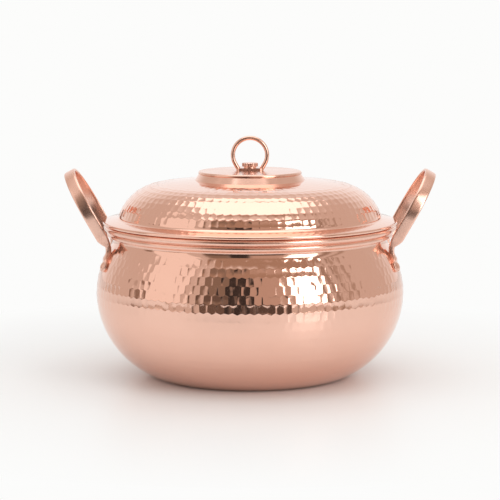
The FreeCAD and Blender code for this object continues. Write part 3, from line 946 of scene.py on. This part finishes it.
# %% Arch of the strap
LEAN = math.radians(29.1)
RIM_RADIUS = 123.5
RIM_TOP = 129.3
HANDLE_GAP = 6.4
HANDLE_RISE = 13.5
LOOP_RADIUS = 38
STRAP_WIDTH = 9.6
STRAP_THICK = 2.7
WRAP = 8.0
STRAP_LEG = 18
ARCH_STEPS = 36
LEG_STEPS = 8
LOOP_CENTRE = Vector((RIM_RADIUS + HANDLE_GAP, 0, RIM_TOP + HANDLE_RISE))
LOOP_UP = Vector((math.sin(LEAN), 0, math.cos(LEAN)))
LOOP_OUT = Vector((math.cos(LEAN), 0, -math.sin(LEAN)))

strap_radius = LOOP_RADIUS - STRAP_THICK / 2
stations = []
for step in range(ARCH_STEPS + 1):
    angle = math.radians(90 - step * (90 + WRAP) / ARCH_STEPS)
    side = Vector((0, math.cos(angle), 0)) + LOOP_UP * math.sin(angle)
    centre = LOOP_CENTRE + side * strap_radius + LOOP_OUT * (STRAP_WIDTH / 2)
    stations.append((centre, side, STRAP_THICK, LOOP_OUT, STRAP_WIDTH))
arch_end, strap_side = stations[-1][:2]
wrap = math.radians(WRAP)
down = Vector((0, -math.sin(wrap), 0)) - LOOP_UP * math.cos(wrap)
for step in range(1, LEG_STEPS):
    centre = arch_end + down * (STRAP_LEG * step / LEG_STEPS)
    stations.append((centre, strap_side, STRAP_THICK, LOOP_OUT, STRAP_WIDTH))
strap_end = arch_end + down * STRAP_LEG
print("strap ends at", tuple(round(value, 1) for value in strap_end))

# %% [markdown]
# Below the arch, the smith drew the strap down to a round neck and then flattened its end to a leaf that
# lies on the wall. The stops follow it: at each, the section has a place, a way and a size across, and
# a way and a size outwards. Between the stops the strap turns from facing the loop to facing the pot.

# %% Foot of the strap
NECK_INSET = 3.1
NECK_HIGH = 16.2
NECK_LOW = 11.8
ANKLE_INSET = 1.3
ANKLE_RISE = 7.4
LEAF_LIFT = 0.8
FOOT_STEPS = 6

foot_lift = math.radians(FOOT_ANGLE)
RADIAL = Vector((math.cos(foot_turn), math.sin(foot_turn), 0))
SIDEWAYS = Vector((-math.sin(foot_turn), math.cos(foot_turn), 0))
UP = Vector((0, 0, 1))
FOOT_OUT = RADIAL * math.cos(foot_lift) + UP * math.sin(foot_lift)
FOOT_UP = UP * math.cos(foot_lift) - RADIAL * math.sin(foot_lift)
leaf = SEAT + FOOT_OUT * LEAF_LIFT
neck = SEAT - RADIAL * NECK_INSET
neck_top = neck + UP * NECK_HIGH


def on_the_turn(share):
    """Place and ways of the section at a share of the turn from the strap's end to the neck."""
    return strap_end.lerp(neck_top, share), strap_side.lerp(SIDEWAYS, share), LOOP_OUT.lerp(RADIAL, share)


early_place, early_side, early_out = on_the_turn(0.4)
late_place, late_side, late_out = on_the_turn(0.75)
# Place, the way across and the size along it, the way outwards and the size along it, in mm
stops = [
    (strap_end, strap_side, STRAP_THICK, LOOP_OUT, STRAP_WIDTH),
    (early_place, early_side, 3.2, early_out, 8.4),
    (late_place, late_side, 3.8, late_out, 6.2),
    (neck_top, SIDEWAYS, 4.2, RADIAL, 4.7),
    (neck + UP * NECK_LOW, SIDEWAYS, 4.5, RADIAL, 4.3),
    (SEAT - RADIAL * ANKLE_INSET + UP * ANKLE_RISE, SIDEWAYS, 8.0, RADIAL, 4.6),
    (leaf + FOOT_UP * 3.5, SIDEWAYS, 13.2, FOOT_OUT, 2.8),
    (leaf, SIDEWAYS, 14.0, FOOT_OUT, 2.8),
    (leaf - FOOT_UP * 2.6, SIDEWAYS, 12.4, FOOT_OUT, 2.7),
    (leaf - FOOT_UP * 4.0, SIDEWAYS, 7.6, FOOT_OUT, 2.5),
]
stations += smooth_between(stops, FOOT_STEPS)
places = [section_matrix(*station) for station in stations]
print("sections along half a handle:", len(places))

# %% [markdown]
# The section is a square of four points with rounded corners. Dragged along its way, it makes half a
# handle from the top of the arch to a foot. The end face at the top comes off before the half is
# mirrored, so that the two halves join to one closed skin. The left handle is the right one mirrored,
# and its normals are recalculated because that turns them inside out.

# %% Handles
CORNER_ROUND = 0.45
TOUCHING = 1e-6


def make_handle(name, side, nodes):
    """Drag the section along half a handle, and mirror it to a whole one on its side of the pot."""
    bm = bmesh.new()
    bmesh.ops.create_circle(bm, cap_ends=True, segments=4, radius=math.sqrt(2))
    bmesh.ops.rotate(bm, verts=bm.verts, matrix=Matrix.Rotation(math.pi / 4, 3, "Z"))
    bmesh.ops.bevel(
        bm, geom=bm.verts[:], offset=CORNER_ROUND, affect="VERTICES", segments=4, profile=0.5, material=-1
    )
    bmesh.ops.transform(bm, matrix=places[0], verts=bm.verts)
    bm.faces.ensure_lookup_table()
    drag_section(bm, bm.faces[0], places)
    top = [face for face in bm.faces if all(abs(vert.co.y) < TOUCHING for vert in face.verts)]
    bmesh.ops.delete(bm, geom=top, context="FACES_ONLY")
    bmesh.ops.mirror(bm, geom=bm.verts[:] + bm.edges[:] + bm.faces[:], axis="Y", merge_dist=TOUCHING)
    if side < 0:
        bmesh.ops.scale(bm, vec=(-1, 1, 1), verts=bm.verts)
    bmesh.ops.remove_doubles(bm, verts=bm.verts, dist=TOUCHING)
    bmesh.ops.recalc_face_normals(bm, faces=bm.faces)
    finish_piece(bm, name, "pot", forged_copper, nodes, sharp_angle=60)


make_handle("right_strap_handle", 1, ["right_handle"])
make_handle("left_strap_handle", -1, ["left_handle"])

# %% [markdown]
# The other solids are round and smooth enough as they are: linings, collar, wire, rivets and burrs, and
# the ring pull with what clamps it. They stay, and get the finishes of their metals.

# %% Finishes of the other solids
KEPT_SOLIDS = {
    "pot_lining": wiped_tin, "lid_lining": wiped_tin, "lid_collar": wiped_tin,
    "right_rivet_burrs": wiped_tin, "left_rivet_burrs": wiped_tin, "pot_rim_wire": steel,
    "right_handle_rivets": polished_copper, "left_handle_rivets": polished_copper,
    "ring_pull": polished_copper, "pull_nut": forged_copper,
    "pull_stud": brass, "pull_washer": brass, "pull_locknut": brass,
}

for node, material in KEPT_SOLIDS.items():
    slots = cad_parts[node].data.materials
    slots.clear()
    slots.append(material)
print("finished solids:", len(KEPT_SOLIDS))
